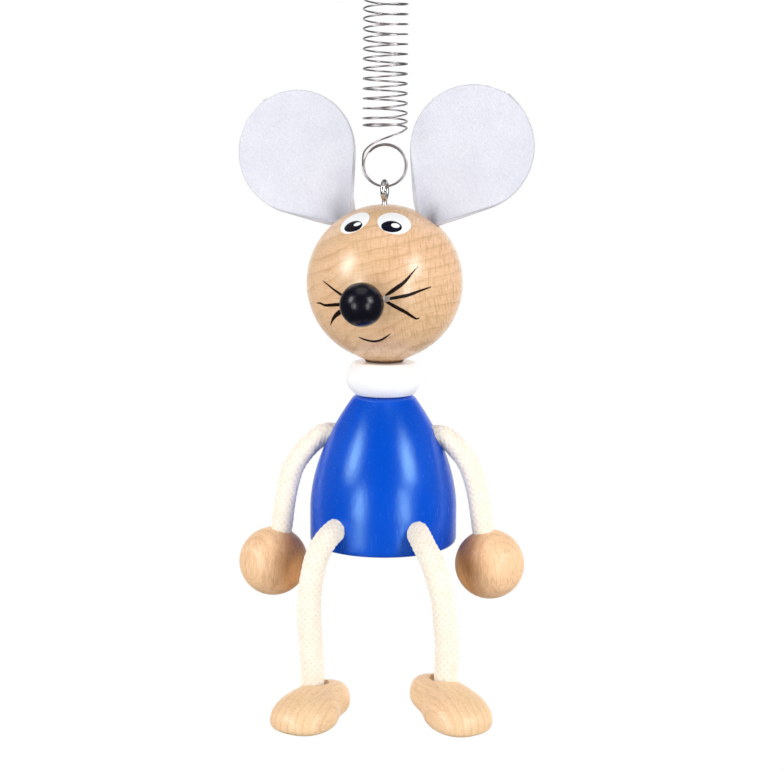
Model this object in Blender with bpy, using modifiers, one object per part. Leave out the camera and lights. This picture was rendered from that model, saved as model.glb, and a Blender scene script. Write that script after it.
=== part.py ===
"""A wooden bouncing mouse that hangs on a wire coil spring.

Frame: metres, +Z up, and the mouse faces -Y. The origin is the point inside the spring's top
loop where a hook bears. The spring's axis is the Z axis. Left and right are the mouse's own,
so its left side is at +X.
"""

import math

import bmesh
import bpy
from mathutils import Matrix, Vector

MM = 0.001
GAP = 0.3 * MM
# How far a bore's cutter stands out of its mouth.
BORE_OVERSHOOT = 4.0 * MM

# Wire spring: a close pair of end loops and an open coil between them, at its loaded length.
WIRE_RADIUS = 0.2 * MM
LOOP_RADIUS = 4.85 * MM
LOOP_TURNS = 1.9
LOOP_WIRE_PITCH = 0.46 * MM
LOOP_START = -0.75 * LOOP_WIRE_PITCH
COIL_RADIUS = 4.95 * MM
COIL_PITCH = 2.19 * MM
COIL_TURNS = 33.75
CLOSED_PITCH = 1.5 * MM
CLOSED_TURNS = 1.5
NECK_HEIGHT = 8.2 * MM

# Screw eye in the crown of the head.
EYE_WIRE_RADIUS = 0.6 * MM
EYE_RING_RADIUS = 1.9 * MM
EYE_SHANK_DEPTH = 9.0 * MM

# Turned wood, from the head down. Heights are measured from the head's centre.
HEAD_RADIUS = 18.0 * MM
HEAD_BEHIND_SPRING = 1.4 * MM
HEAD_TURN = math.radians(-7.0)
NOSE_RADIUS = 4.85 * MM
NOSE_DISTANCE = 22.4 * MM
NOSE_DROP = math.radians(8.4)
NOSE_PEG_RADIUS = 1.5 * MM
NOSE_PEG_IN_HEAD = 6.0 * MM
NOSE_PEG_IN_NOSE = 4.0 * MM
DOWEL_RADIUS = 3.0 * MM
DOWEL_TOP = -10.0 * MM
DOWEL_BOTTOM = -31.2 * MM
COLLAR_TOP = -18.3 * MM
COLLAR_WAIST = -21.95 * MM
COLLAR_BOTTOM = -25.95 * MM
COLLAR_RADIUS = 9.0 * MM
COLLAR_HEIGHT_RADIUS = 6.0 * MM
TORSO_TOP = -26.25 * MM
TORSO_SHOULDER_END = -53.0 * MM
TORSO_BOTTOM = -61.0 * MM
TORSO_TOP_RADIUS = 7.0 * MM
TORSO_RADIUS = 17.2 * MM
TORSO_CURVE_POWER = 1.9
TORSO_EDGE_ROUND = 1.3 * MM

# Ears: flat felt teardrops, glued into slots in the head. Each has its own lean.
EAR_RADIUS = 14.1 * MM
EAR_RISE = 18.8 * MM
EAR_BASE_WIDTH = 5.5 * MM
EAR_THICKNESS = 0.9 * MM
EAR_ROOT_DEPTH = 3.5 * MM
EAR_LEAN = {"left_ear": math.radians(32.0), "right_ear": math.radians(37.5)}
EAR_SEAT_ANGLE = math.radians(33.5)
EAR_SET_BACK = 2.0 * MM

# Limbs: braided cotton cord glued into blind bores.
ARM_CORD_RADIUS = 2.35 * MM
LEG_CORD_RADIUS = 2.5 * MM
CORD_BORE_PLAY = 0.55 * MM
CORD_POINTS = 14
HAND_RADIUS = 8.0 * MM
CORD_IN_HAND = 4.0 * MM
CORD_IN_FOOT = 5.0 * MM
SHOULDER_HEIGHT = -35.6 * MM
SHOULDER_BORE_DEPTH = 8.0 * MM
HIP_BORE_DEPTH = 8.0 * MM
HIP_BORE_SPLAY = math.radians(26.0)
HIP_HEIGHT = -55.4 * MM
HIP_ANGLE = math.radians(33.0)
FOOT_LENGTH = 24.0 * MM
FOOT_WIDTH = 13.4 * MM
FOOT_HEIGHT = 8.6 * MM
FOOT_SOLE_SHARE = 0.32
FOOT_TOE_FLARE = 0.33
FOOT_WAIST = 0.20
FOOT_WAIST_PLACE = -0.20
FOOT_WAIST_REACH = 0.26
FOOT_ROUNDNESS = 2.3

# Each limb's centre line from the mouth of its bore, in millimetres from the head's centre.
# The arms hang a little unevenly, and the legs more so.
LIMB_ROUTES = {
    "right_arm": [(-13.6, 0.0, -35.6), (-16.0, -0.6, -37.0), (-18.0, -1.2, -38.9), (-19.8, -1.8, -41.2),
                  (-21.1, -2.4, -43.6), (-22.0, -3.1, -46.8), (-22.65, -3.8, -50.5), (-23.1, -4.4, -54.3),
                  (-23.45, -4.8, -57.5), (-24.3, -5.0, -61.0)],
    "left_arm": [(13.6, 0.0, -35.6), (15.8, -0.6, -36.8), (17.6, -1.2, -38.5), (19.3, -1.8, -40.5),
                 (20.6, -2.4, -42.8), (21.7, -3.1, -45.9), (22.55, -3.8, -49.5), (23.2, -4.4, -53.2),
                 (23.7, -4.8, -56.5), (24.5, -5.0, -60.0)],
    "right_leg": [(-9.4, -14.4, -55.4), (-11.1, -18.3, -56.9), (-12.7, -21.3, -60.2), (-13.55, -23.2, -64.7),
                  (-13.85, -24.1, -69.1), (-13.8, -24.5, -73.5), (-13.35, -24.8, -80.0),
                  (-13.1, -25.0, -84.1), (-13.0, -25.0, -90.0)],
    "left_leg": [(9.3, -14.5, -55.4), (11.1, -18.3, -57.3), (13.1, -21.4, -60.0), (14.7, -23.3, -63.9),
                 (15.9, -24.2, -68.2), (16.4, -24.6, -72.4), (16.9, -24.8, -78.9),
                 (16.8, -25.0, -82.9), (16.7, -25.0, -88.7)],
}
HAND_CENTRES = {"right_hand": (-25.3, -5.2, -65.3), "left_hand": (25.35, -5.2, -64.4)}
# Centre, outward turn and toe-down tilt of each foot.
FEET = {
    "right_foot": ((-11.9, -28.0, -93.3), math.radians(-23.0), math.radians(2.0)),
    "left_foot": ((17.0, -28.0, -91.3), math.radians(38.0), math.radians(8.0)),
}

# Heights of the spring's stations and of the head, in the object's frame.
TOP_LOOP_CENTRE = -(LOOP_RADIUS - WIRE_RADIUS)
COIL_TOP = TOP_LOOP_CENTRE - NECK_HEIGHT
COIL_BOTTOM = COIL_TOP - COIL_PITCH * (COIL_TURNS - CLOSED_TURNS) - CLOSED_PITCH * CLOSED_TURNS
BOTTOM_LOOP_CENTRE = COIL_BOTTOM - NECK_HEIGHT
LOOP_REST = BOTTOM_LOOP_CENTRE - LOOP_RADIUS + WIRE_RADIUS
EYE_CENTRE = LOOP_REST + GAP - (EYE_RING_RADIUS - EYE_WIRE_RADIUS)
EYE_ABOVE_CROWN = 0.75 * MM
CROWN_HEIGHT = math.sqrt(HEAD_RADIUS**2 - HEAD_BEHIND_SPRING**2)
HEAD_CENTRE = Vector((0.0, HEAD_BEHIND_SPRING,
                      EYE_CENTRE - EYE_RING_RADIUS - EYE_WIRE_RADIUS - EYE_ABOVE_CROWN - CROWN_HEIGHT))
NOSE_DIRECTION = Vector((
    math.sin(HEAD_TURN) * math.cos(NOSE_DROP),
    -math.cos(HEAD_TURN) * math.cos(NOSE_DROP),
    -math.sin(NOSE_DROP),
))


def on_figure(x, y, z):
    """A place given in metres from the head's centre, in the object's frame."""
    return HEAD_CENTRE + Vector((x, y, z))


def route_points(name):
    return [on_figure(x * MM, y * MM, z * MM) for x, y, z in LIMB_ROUTES[name]]


# ---------------------------------------------------------------- scene, materials, helpers


def clear_scene():
    for obj in list(bpy.data.objects):
        bpy.data.objects.remove(obj, do_unlink=True)


def add_collection(name):
    collection = bpy.data.collections.new(name)
    bpy.context.scene.collection.children.link(collection)
    return collection


def add_material(name, colour, roughness, metallic=0.0):
    material = bpy.data.materials.new(name)
    material.use_nodes = True
    shader = material.node_tree.nodes["Principled BSDF"]
    shader.inputs["Base Color"].default_value = (*colour, 1.0)
    shader.inputs["Roughness"].default_value = roughness
    shader.inputs["Metallic"].default_value = metallic
    material.diffuse_color = (*colour, 1.0)
    return material


def add_pivot(name, place):
    """An empty on a joint's axis, which the pieces that move about it are parented to."""
    pivot = bpy.data.objects.new(name, None)
    pivot.empty_display_size = 3.0 * MM
    pivot.location = place
    parts.objects.link(pivot)
    return pivot


def attach(child, pivot, pivot_place):
    child.parent = pivot
    child.matrix_parent_inverse = Matrix.Translation(-Vector(pivot_place))


def add_part(name, data, material, place=(0.0, 0.0, 0.0), rotation=None):
    """Links a mesh or curve as a named part at its own reference point."""
    obj = bpy.data.objects.new(name, data)
    obj.location = place
    if rotation is not None:
        obj.rotation_euler = rotation.to_euler()
    data.materials.append(material)
    parts.objects.link(obj)
    return obj


def mesh_from(name, bm):
    mesh = bpy.data.meshes.new(name)
    bm.to_mesh(mesh)
    bm.free()
    mesh.shade_smooth()
    mesh.set_sharp_from_angle(angle=math.radians(40.0))
    return mesh


def ball_mesh(name, radius, segments, rings):
    bm = bmesh.new()
    bmesh.ops.create_uvsphere(bm, u_segments=segments, v_segments=rings, radius=radius)
    return mesh_from(name, bm)


def rod_mesh(name, radius, length, segments=20):
    """A closed cylinder along Z, centred on its own origin."""
    bm = bmesh.new()
    bmesh.ops.create_cone(bm, cap_ends=True, segments=segments, radius1=radius, radius2=radius, depth=length)
    return mesh_from(name, bm)


def facing(direction):
    """The rotation that turns +Z to the direction."""
    return Vector(direction).to_track_quat("Z", "Y")


def cut(target, name, mesh, place, rotation=None):
    """Takes a closed cutter mesh out of the target."""
    cutter = bpy.data.objects.new(name, mesh)
    cutter.location = place
    if rotation is not None:
        cutter.rotation_euler = rotation.to_euler()
    cutter.hide_render = True
    cutter.display_type = "WIRE"
    cutters.objects.link(cutter)
    boolean = target.modifiers.new(name, "BOOLEAN")
    boolean.operation = "DIFFERENCE"
    boolean.solver = "EXACT"
    boolean.object = cutter


def cut_bore(target, name, radius, mouth, inward, depth):
    """A blind round bore whose mouth is at the point, drilled along inward."""
    inward = Vector(inward).normalized()
    centre = Vector(mouth) + inward * (depth - BORE_OVERSHOOT) / 2
    cut(target, name, rod_mesh(name, radius, depth + BORE_OVERSHOOT), centre, facing(inward))


def tube_curve(name, points, radius, resolution=2):
    """A round wire or cord through the points, closed at its ends."""
    curve = bpy.data.curves.new(name, "CURVE")
    curve.dimensions = "3D"
    curve.bevel_depth = radius
    curve.bevel_resolution = resolution
    curve.use_fill_caps = True
    spline = curve.splines.new("POLY")
    spline.points.add(len(points) - 1)
    for point, place in zip(spline.points, points):
        point.co = (*place, 1.0)
    return curve


def smooth_route(points, count):
    """Evenly spaced points on the Catmull-Rom curve through the given points."""
    ends = [2 * points[0] - points[1], *points, 2 * points[-1] - points[-2]]
    fine = []
    steps = 12
    for before, start, end, after in zip(ends, ends[1:], ends[2:], ends[3:]):
        for step in range(steps):
            t = step / steps
            fine.append(0.5 * (2 * start + (end - before) * t
                               + (2 * before - 5 * start + 4 * end - after) * t**2
                               + (3 * start - before - 3 * end + after) * t**3))
    fine.append(points[-1])
    lengths = [0.0]
    for here, there in zip(fine, fine[1:]):
        lengths.append(lengths[-1] + (there - here).length)
    even = []
    index = 0
    for number in range(count):
        target = lengths[-1] * number / (count - 1)
        while index < len(fine) - 2 and lengths[index + 1] < target:
            index += 1
        share = (target - lengths[index]) / (lengths[index + 1] - lengths[index])
        even.append(fine[index].lerp(fine[index + 1], min(share, 1.0)))
    return even


# ---------------------------------------------------------------- the wire spring


def loop_points(centre_height, start_angle, heading):
    """The double turn of an end loop, facing the front. heading is +1 or -1 in the XZ plane."""
    points = []
    per_turn = 18
    for step in range(1, int(LOOP_TURNS * per_turn) + 1):
        turns = step / per_turn
        angle = start_angle + heading * math.tau * turns
        points.append(Vector((
            LOOP_RADIUS * math.cos(angle),
            LOOP_START + LOOP_WIRE_PITCH * turns,
            centre_height + LOOP_RADIUS * math.sin(angle),
        )))
    return points


def build_top_loop():
    """The neck leaves the coil at its front, climbs to the loop's side and runs into the double turn."""
    neck = [Vector((0.0, -COIL_RADIUS, COIL_TOP + GAP)),
            Vector((2.6, -4.1, 1.2)) * MM + Vector((0.0, 0.0, COIL_TOP)),
            Vector((4.5, -2.3, 3.2)) * MM + Vector((0.0, 0.0, COIL_TOP)),
            Vector((5.0, -0.7, 5.6)) * MM + Vector((0.0, 0.0, COIL_TOP)),
            Vector((LOOP_RADIUS, LOOP_START, TOP_LOOP_CENTRE))]
    points = smooth_route(neck, 8) + loop_points(TOP_LOOP_CENTRE, 0.0, 1)
    return add_part("spring_top_loop", tube_curve("spring_top_loop", points, WIRE_RADIUS, 1), steel)


def coil_height(turns):
    """The wire's height after so many turns from the bottom: the first ones stand closer together."""
    closed = min(turns, CLOSED_TURNS)
    return COIL_BOTTOM + CLOSED_PITCH * closed + COIL_PITCH * (turns - closed)


def build_coil():
    """A right-handed helix, from its lower end at +X to its upper end at the front."""
    per_turn = 9
    steps = int(COIL_TURNS * per_turn)
    points = []
    for step in range(steps + 1):
        turns = COIL_TURNS * step / steps
        angle = math.tau * turns
        x, y = COIL_RADIUS * math.cos(angle), COIL_RADIUS * math.sin(angle)
        points.append(Vector((x, y, coil_height(turns))))
    return add_part("spring_coil", tube_curve("spring_coil", points, WIRE_RADIUS, 1), steel)


def build_bottom_loop():
    """The neck leaves the coil at its side, sweeps down across the front and runs into the double turn."""
    neck = [Vector((COIL_RADIUS, -GAP * 1.6, COIL_BOTTOM - GAP / 2)),
            Vector((3.7, -3.2, -0.8)) * MM + Vector((0.0, 0.0, COIL_BOTTOM)),
            Vector((1.2, -4.3, -2.0)) * MM + Vector((0.0, 0.0, COIL_BOTTOM)),
            Vector((-2.2, -3.7, -3.5)) * MM + Vector((0.0, 0.0, COIL_BOTTOM)),
            Vector((-4.5, -1.9, -5.2)) * MM + Vector((0.0, 0.0, COIL_BOTTOM)),
            Vector((-LOOP_RADIUS, LOOP_START, BOTTOM_LOOP_CENTRE))]
    points = smooth_route(neck, 11) + loop_points(BOTTOM_LOOP_CENTRE, math.pi, 1)
    return add_part("spring_bottom_loop", tube_curve("spring_bottom_loop", points, WIRE_RADIUS, 1), steel)


def build_screw_eye():
    """A wire eye whose end stops just short of its shank, which runs down into the crown."""
    per_turn = 20
    end_gap = 3
    turn = Matrix.Rotation(HEAD_TURN, 3, "Z")
    ring = []
    for step in range(1, per_turn - end_gap + 1):
        angle = -math.pi / 2 - math.tau * step / per_turn
        ring.append(turn @ Vector((
            0.0,
            EYE_RING_RADIUS * math.cos(angle),
            EYE_CENTRE + EYE_RING_RADIUS * math.sin(angle),
        )))
    shank_top = Vector((0.0, 0.0, EYE_CENTRE - EYE_RING_RADIUS - EYE_WIRE_RADIUS))
    shank_end = shank_top - Vector((0.0, 0.0, EYE_SHANK_DEPTH))
    curve = tube_curve("screw_eye", [shank_end, shank_top, *ring], EYE_WIRE_RADIUS)
    return add_part("screw_eye", curve, chrome)


# ---------------------------------------------------------------- head


def ear_frame(name, side):
    """Where an ear's base sits on the head, and the rotation that stands its flat outline up.

    side is +1 on the mouse's left and -1 on its right.
    """
    across = side * HEAD_RADIUS * math.sin(EAR_SEAT_ANGLE)
    base = Vector((across, EAR_SET_BACK, HEAD_RADIUS * math.cos(EAR_SEAT_ANGLE)))
    base *= HEAD_RADIUS / base.length
    turn = Matrix.Rotation(HEAD_TURN, 3, "Z")
    upright = Matrix.Rotation(math.pi / 2, 3, "X")
    lean = Matrix.Rotation(side * EAR_LEAN[name], 3, "Y")
    return HEAD_CENTRE + turn @ base, turn @ lean @ upright


def ear_outline():
    """A disc that tapers on straight tangents to the narrow base, as points in its own plane."""
    half = EAR_BASE_WIDTH / 2
    reach = math.hypot(half, EAR_RISE)
    tangent = math.pi - math.asin(EAR_RADIUS / reach) - math.atan2(EAR_RISE, half)
    start = -tangent
    segments = 28
    points = [(half, -EAR_ROOT_DEPTH), (half, 0.0)]
    for step in range(segments + 1):
        angle = start + (math.pi - 2 * start) * step / segments
        points.append((EAR_RADIUS * math.cos(angle), EAR_RISE + EAR_RADIUS * math.sin(angle)))
    points += [(-half, 0.0), (-half, -EAR_ROOT_DEPTH)]
    return points


def build_ear(name, side):
    curve = bpy.data.curves.new(name, "CURVE")
    curve.dimensions = "2D"
    curve.fill_mode = "BOTH"
    curve.extrude = EAR_THICKNESS / 2
    outline = ear_outline()
    spline = curve.splines.new("POLY")
    spline.points.add(len(outline) - 1)
    for point, (x, y) in zip(spline.points, outline):
        point.co = (x, y, 0.0, 1.0)
    spline.use_cyclic_u = True
    place, rotation = ear_frame(name, side)
    return add_part(name, curve, felt, place, rotation)


def build_head():
    head = add_part("head", ball_mesh("head", HEAD_RADIUS, 40, 20), bare_wood, HEAD_CENTRE)
    crown = Vector((0.0, 0.0, HEAD_CENTRE.z + CROWN_HEIGHT))
    cut_bore(head, "screw_eye_bore", EYE_WIRE_RADIUS + GAP, crown, (0, 0, -1), EYE_SHANK_DEPTH)
    chin = on_figure(0.0, 0.0, -HEAD_RADIUS)
    cut_bore(head, "head_dowel_bore", DOWEL_RADIUS + GAP, chin, (0, 0, 1), HEAD_RADIUS + DOWEL_TOP + GAP)
    nose_seat = HEAD_CENTRE + NOSE_DIRECTION * HEAD_RADIUS
    depth = NOSE_PEG_IN_HEAD + GAP
    cut_bore(head, "head_nose_bore", NOSE_PEG_RADIUS + GAP, nose_seat, -NOSE_DIRECTION, depth)
    for ear, side in (("left_ear", 1), ("right_ear", -1)):
        place, rotation = ear_frame(ear, side)
        bm = bmesh.new()
        bmesh.ops.create_cube(bm, size=1.0)
        size = Vector((EAR_BASE_WIDTH + 2 * GAP, 2 * (EAR_ROOT_DEPTH + GAP), EAR_THICKNESS + 2 * GAP))
        bmesh.ops.scale(bm, vec=size, verts=bm.verts)
        cut(head, ear + "_slot", mesh_from(ear + "_slot", bm), place, rotation)
    return head


def build_nose():
    """A small ball with a hollow seat that fits the head, on a hidden peg."""
    centre = HEAD_CENTRE + NOSE_DIRECTION * NOSE_DISTANCE
    nose = add_part("nose", ball_mesh("nose", NOSE_RADIUS, 22, 12), black_lacquer, centre)
    cut(nose, "nose_seat", ball_mesh("nose_seat", HEAD_RADIUS + GAP, 48, 24), HEAD_CENTRE)
    back = HEAD_CENTRE + NOSE_DIRECTION * (HEAD_RADIUS + GAP)
    cut_bore(nose, "nose_bore", NOSE_PEG_RADIUS + GAP, back, NOSE_DIRECTION, NOSE_PEG_IN_NOSE)
    return nose


def build_nose_peg():
    length = NOSE_PEG_IN_HEAD + NOSE_PEG_IN_NOSE - GAP
    middle = HEAD_RADIUS + (NOSE_PEG_IN_NOSE - NOSE_PEG_IN_HEAD) / 2 + GAP / 2
    mesh = rod_mesh("nose_peg", NOSE_PEG_RADIUS, length - GAP, 14)
    place = HEAD_CENTRE + NOSE_DIRECTION * middle
    return add_part("nose_peg", mesh, dowel_wood, place, facing(NOSE_DIRECTION))


# ---------------------------------------------------------------- collar, dowel, torso


def turned(name, profile, material, steps=40):
    """A solid of revolution from a profile that runs down its outer side, top to bottom."""
    bm = bmesh.new()
    corners = [bm.verts.new((radius, 0.0, height)) for radius, height in profile]
    for upper, lower in zip(corners, corners[1:]):
        bm.edges.new((upper, lower))
    mesh = bpy.data.meshes.new(name)
    bm.to_mesh(mesh)
    bm.free()
    obj = add_part(name, mesh, material, HEAD_CENTRE)
    screw = obj.modifiers.new("turned", "SCREW")
    screw.axis = "Z"
    screw.steps = steps
    screw.render_steps = steps
    screw.use_merge_vertices = True
    screw.merge_threshold = 0.01 * MM
    screw.use_smooth_shade = True
    return obj


def build_collar():
    """A bead with its ends cut flat, bored right through for the dowel."""
    profile = [(0.0, COLLAR_TOP)]
    segments = 8
    for step in range(segments + 1):
        height = COLLAR_TOP + (COLLAR_BOTTOM - COLLAR_TOP) * step / segments
        share = (height - COLLAR_WAIST) / COLLAR_HEIGHT_RADIUS
        profile.append((COLLAR_RADIUS * math.sqrt(1.0 - share**2), height))
    profile.append((0.0, COLLAR_BOTTOM))
    collar = turned("collar", profile, white_lacquer)
    through = 2 * (COLLAR_TOP - COLLAR_BOTTOM)
    centre = on_figure(0.0, 0.0, COLLAR_WAIST)
    cut(collar, "collar_bore", rod_mesh("collar_bore", DOWEL_RADIUS + GAP, through), centre)
    return collar


def build_neck_dowel():
    mesh = rod_mesh("neck_dowel", DOWEL_RADIUS, DOWEL_TOP - DOWEL_BOTTOM)
    return add_part("neck_dowel", mesh, dowel_wood, on_figure(0.0, 0.0, (DOWEL_TOP + DOWEL_BOTTOM) / 2))


def torso_radius(height):
    share = min((TORSO_TOP - height) / (TORSO_TOP - TORSO_SHOULDER_END), 1.0)
    return TORSO_TOP_RADIUS + (TORSO_RADIUS - TORSO_TOP_RADIUS) * (1.0 - (1.0 - share) ** TORSO_CURVE_POWER)


def build_torso():
    """A bell with a flat underside, bored for the dowel, both arms and both legs."""
    profile = [(0.0, TORSO_TOP)]
    shoulder_steps = 12
    for step in range(shoulder_steps + 1):
        height = TORSO_TOP + (TORSO_SHOULDER_END - TORSO_TOP) * step / shoulder_steps
        profile.append((torso_radius(height), height))
    corner_steps = 4
    for step in range(corner_steps + 1):
        angle = math.pi / 2 * step / corner_steps
        profile.append((
            TORSO_RADIUS - TORSO_EDGE_ROUND * (1.0 - math.cos(angle)),
            TORSO_BOTTOM + TORSO_EDGE_ROUND * (1.0 - math.sin(angle)),
        ))
    profile.append((0.0, TORSO_BOTTOM))
    torso = turned("torso", profile, blue_lacquer)
    neck = on_figure(0.0, 0.0, TORSO_TOP)
    cut_bore(torso, "torso_dowel_bore", DOWEL_RADIUS + GAP, neck, (0, 0, -1), TORSO_TOP - DOWEL_BOTTOM + GAP)
    for name, side in (("left", 1), ("right", -1)):
        shoulder = on_figure(side * torso_radius(SHOULDER_HEIGHT), 0.0, SHOULDER_HEIGHT)
        arm_bore = ARM_CORD_RADIUS + CORD_BORE_PLAY
        cut_bore(torso, name + "_arm_bore", arm_bore, shoulder, (-side, 0, 0), SHOULDER_BORE_DEPTH)
        across, forward = side * math.sin(HIP_ANGLE), -math.cos(HIP_ANGLE)
        hip = on_figure(TORSO_RADIUS * across, TORSO_RADIUS * forward, HIP_HEIGHT)
        leg_bore = LEG_CORD_RADIUS + CORD_BORE_PLAY
        cut_bore(torso, name + "_leg_bore", leg_bore, hip, hip_inward(side), HIP_BORE_DEPTH)
    return torso


# ---------------------------------------------------------------- limbs


def hip_inward(side):
    return Vector((-side * math.sin(HIP_BORE_SPLAY), math.cos(HIP_BORE_SPLAY), 0.0))


def build_cord(limb, side):
    """A limb's cord, from deep in its bore in the torso to deep in its bore in the hand or foot."""
    points = route_points(limb)
    if limb.endswith("arm"):
        inward, depth, radius = Vector((-side, 0.0, 0.0)), SHOULDER_BORE_DEPTH, ARM_CORD_RADIUS
    else:
        inward, depth, radius = hip_inward(side), HIP_BORE_DEPTH, LEG_CORD_RADIUS
    inner = [points[0] + inward * share * (depth - 2 * GAP) for share in (1.0, 0.45)]
    route = smooth_route(inner + points, CORD_POINTS)
    return add_part(limb + "_cord", tube_curve(limb + "_cord", route, radius), cotton)


def build_hand(name, limb):
    """A ball whose bore follows the cord's last stretch."""
    centre = on_figure(*(MM * value for value in HAND_CENTRES[name]))
    hand = add_part(name, ball_mesh(name, HAND_RADIUS, 24, 12), bare_wood, centre)
    points = route_points(limb)
    direction = (points[-1] - points[-2]).normalized()
    mouth = points[-1] - direction * CORD_IN_HAND
    cut_bore(hand, name + "_bore", ARM_CORD_RADIUS + CORD_BORE_PLAY, mouth, direction, CORD_IN_HAND + GAP)
    return hand


def foot_mesh(name, inner_side):
    """A clog: round at the toe, narrower at the heel, low crowned on top and nearly flat below.

    Its toe points along +X of its own frame, and inner_side is the sign of Y on its waisted side.
    """
    bm = bmesh.new()
    bmesh.ops.create_uvsphere(bm, u_segments=24, v_segments=14, radius=1.0)
    for vert in bm.verts:
        along = max(-1.0, min(1.0, vert.co.z))
        around = math.atan2(vert.co.y, vert.co.x)
        swell = (1.0 - abs(along) ** FOOT_ROUNDNESS) ** (1.0 / FOOT_ROUNDNESS)
        across = math.copysign(abs(math.cos(around)) ** (2.0 / FOOT_ROUNDNESS), math.cos(around))
        upward = math.copysign(abs(math.sin(around)) ** (2.0 / FOOT_ROUNDNESS), math.sin(around))
        width = FOOT_WIDTH / 2 * swell * (1.0 + FOOT_TOE_FLARE * along)
        if across * inner_side > 0.0:
            width *= 1.0 - FOOT_WAIST * math.exp(-(((along - FOOT_WAIST_PLACE) / FOOT_WAIST_REACH) ** 2))
        share = 1.0 - FOOT_SOLE_SHARE if upward > 0.0 else FOOT_SOLE_SHARE
        vert.co = (FOOT_LENGTH / 2 * along, width * across, FOOT_HEIGHT * share * swell * upward)
    bmesh.ops.remove_doubles(bm, verts=bm.verts, dist=0.001 * MM)
    bmesh.ops.recalc_face_normals(bm, faces=bm.faces)
    return mesh_from(name, bm)


def build_foot(name, limb):
    """A clog, bored straight down where the cord comes in."""
    centre, turn, tilt = FEET[name]
    place = on_figure(*(MM * value for value in centre))
    rotation = Matrix.Rotation(-math.pi / 2 + turn, 3, "Z") @ Matrix.Rotation(tilt, 3, "Y")
    inner_side = -1 if place.x > 0.0 else 1
    foot = add_part(name, foot_mesh(name, inner_side), bare_wood, place, rotation)
    end = route_points(limb)[-1]
    mouth = end + Vector((0.0, 0.0, CORD_IN_FOOT))
    cut_bore(foot, name + "_bore", LEG_CORD_RADIUS + CORD_BORE_PLAY, mouth, (0, 0, -1), CORD_IN_FOOT + GAP)
    return foot


# ---------------------------------------------------------------- assembly


clear_scene()
parts = add_collection("bouncing_mouse")
cutters = add_collection("cutters")

steel = add_material("spring_steel", (0.42, 0.42, 0.43), 0.30, 1.0)
chrome = add_material("screw_eye_chrome", (0.72, 0.72, 0.73), 0.16, 1.0)
bare_wood = add_material("lacquered_beech", (0.78, 0.53, 0.31), 0.38)
dowel_wood = add_material("plain_dowel", (0.74, 0.56, 0.36), 0.62)
blue_lacquer = add_material("blue_lacquer", (0.0, 0.085, 0.62), 0.20)
white_lacquer = add_material("white_lacquer", (0.86, 0.86, 0.85), 0.22)
black_lacquer = add_material("black_lacquer", (0.010, 0.011, 0.015), 0.26)
felt = add_material("grey_white_felt", (0.76, 0.76, 0.80), 0.92)
cotton = add_material("natural_cotton", (0.88, 0.83, 0.74), 0.90)

build_top_loop()
sway_place = Vector((0.0, 0.0, COIL_TOP))
sway_pivot = add_pivot("spring_sway_pivot", sway_place)
attach(build_coil(), sway_pivot, sway_place)

slide_place = Vector((0.0, 0.0, COIL_BOTTOM))
slide_pivot = add_pivot("spring_end_pivot", slide_place)
attach(slide_pivot, sway_pivot, sway_place)
attach(build_bottom_loop(), slide_pivot, slide_place)

swing_place = Vector((0.0, 0.0, LOOP_REST - WIRE_RADIUS))
swing_pivot = add_pivot("figure_swing_pivot", swing_place)
attach(swing_pivot, slide_pivot, slide_place)
figure = [build_screw_eye(), build_head(), build_nose(), build_nose_peg(), build_ear("left_ear", 1),
          build_ear("right_ear", -1), build_collar(), build_neck_dowel(), build_torso()]
for piece in figure:
    attach(piece, swing_pivot, swing_place)

for side_name, side_sign in (("left", 1), ("right", -1)):
    for kind, end_name, build_end in (("arm", "hand", build_hand), ("leg", "foot", build_foot)):
        limb_name = side_name + "_" + kind
        limb_place = route_points(limb_name)[0]
        limb_pivot = add_pivot(limb_name + "_pivot", limb_place)
        attach(limb_pivot, swing_pivot, swing_place)
        limb_pieces = [build_cord(limb_name, side_sign),
                       build_end(side_name + "_" + end_name, limb_name)]
        for piece in limb_pieces:
            attach(piece, limb_pivot, limb_place)
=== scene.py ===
"""The looks of the bouncing spring mouse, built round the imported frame.

Lengths are written in millimetres and turned into metres by MM. Unless said otherwise, places are
given from the head's centre, in the frame's axes: X to the mouse's left, -Y to its front, Z up.
"""

from math import asin, atan2, copysign, cos, degrees, exp, floor, hypot, pi, radians, sin, sqrt, tan, tau

import bmesh
import bpy
from mathutils import Matrix, Vector, noise


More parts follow.
